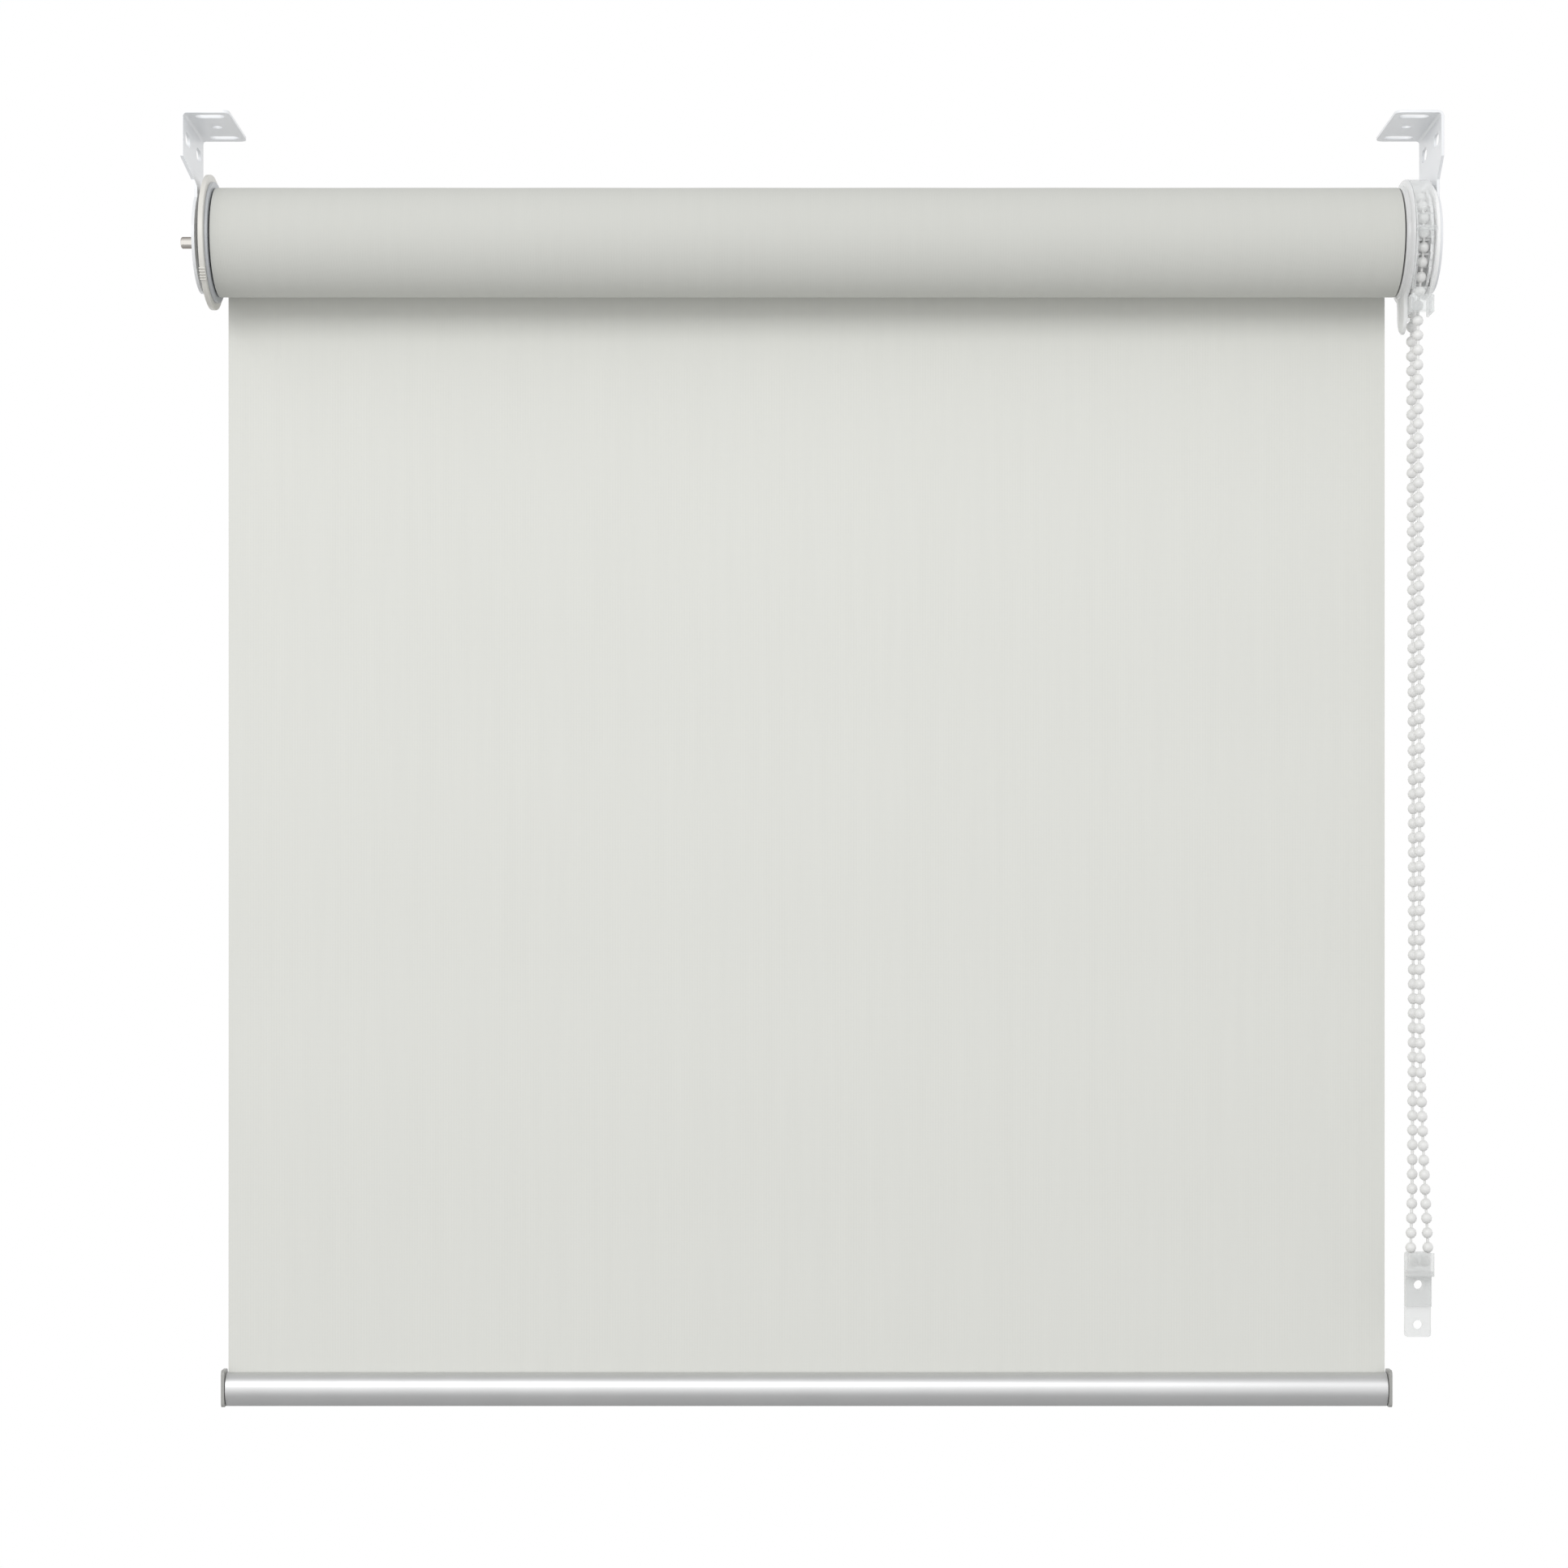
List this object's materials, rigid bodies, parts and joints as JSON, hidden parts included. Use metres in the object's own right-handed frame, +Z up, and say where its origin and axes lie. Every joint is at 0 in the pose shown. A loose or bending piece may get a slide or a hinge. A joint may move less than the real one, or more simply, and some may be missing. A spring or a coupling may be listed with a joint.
{
  "type": "roller blind",
  "caption": "Roller blind with steel end brackets, wound fabric on a tube, sprung idle pin, bead-chain clutch with clear guard, chain holder and aluminium bottom rail.",
  "frame": {"origin": "on the ceiling plane, above the roller's axis, midway between the outer faces of the two brackets", "axes": "+X along the roller towards the chain drive, +Y towards the window, +Z up"},
  "size_m": [0.514, 0.0542, 0.528],
  "materials": {
    "painted_steel": "satin white",
    "clear_plastic": "clear, glossy",
    "milky_plastic": "translucent, satin",
    "white_plastic": "satin",
    "dark_plastic": "satin",
    "cap_plastic": "satin grey",
    "tube_metal": "mill",
    "rail_metal": "satin anodised",
    "pin_metal": "polished nickel",
    "spring_steel": "bright",
    "fabric_face": "woven, warm light grey",
    "fabric_reverse": "coated reverse, warm light grey",
    "bead_plastic": "white beads on cord"
  },
  "bodies": {
    "ceiling_frame": {"bracket_idle": "painted_steel", "bracket_drive": "painted_steel", "idle_guard_disc": "milky_plastic", "clutch_base": "milky_plastic", "clutch_clip": "spring_steel", "chain_guard": "clear_plastic", "guard_inner_plate": "clear_plastic", "chain_on_sprocket": "bead_plastic", "chain_loop": "bead_plastic", "holder_base": "clear_plastic", "holder_cover": "clear_plastic", "fabric_sheet": "fabric_face"},
    "roller": {"roller_tube": "tube_metal", "fabric_spline": "white_plastic", "fabric_roll": "fabric_reverse", "idle_plug": "milky_plastic", "pin_retainer": "dark_plastic", "drive_hub": "milky_plastic", "wrap_spring_inner": "spring_steel", "wrap_spring_outer": "spring_steel"},
    "sprocket": {"chain_sprocket": "milky_plastic"},
    "idle_pin": {"idle_pin": "pin_metal", "pin_spring": "spring_steel"},
    "bottom_rail": {"rail_bar": "rail_metal", "rail_hem_strip": "white_plastic", "rail_cap_left": "cap_plastic", "rail_cap_right": "cap_plastic"}
  },
  "joints": [
    {"name": "roller_spin", "type": "hinge", "parent": "ceiling_frame", "child": "roller", "pos_m": [0, 0, -0.0485], "axis": [1, 0, 0], "range_deg": [0, 1080]},
    {"name": "sprocket_spin", "type": "hinge", "parent": "ceiling_frame", "child": "sprocket", "pos_m": [0.2471, 0, -0.0485], "axis": [1, 0, 0], "range_deg": [0, 1080]},
    {"name": "rail_lift", "type": "slide", "parent": "ceiling_frame", "child": "bottom_rail", "axis": [0, 0, 1], "range_m": [0, 0.4129], "deforming": ["fabric_sheet"]},
    {"name": "pin_press", "type": "slide", "parent": "ceiling_frame", "child": "idle_pin", "axis": [1, 0, 0], "range_m": [0, 0.0104], "stiffness_N_per_m": 350, "springref_m": -0.003, "deforming": ["pin_spring"]}
  ],
  "couplings": [
    {"joint": "sprocket_spin", "follows": "roller_spin", "ratio": 1},
    {"joint": "rail_lift", "follows": "roller_spin", "m_per_rad": 0.0219}
  ]
}
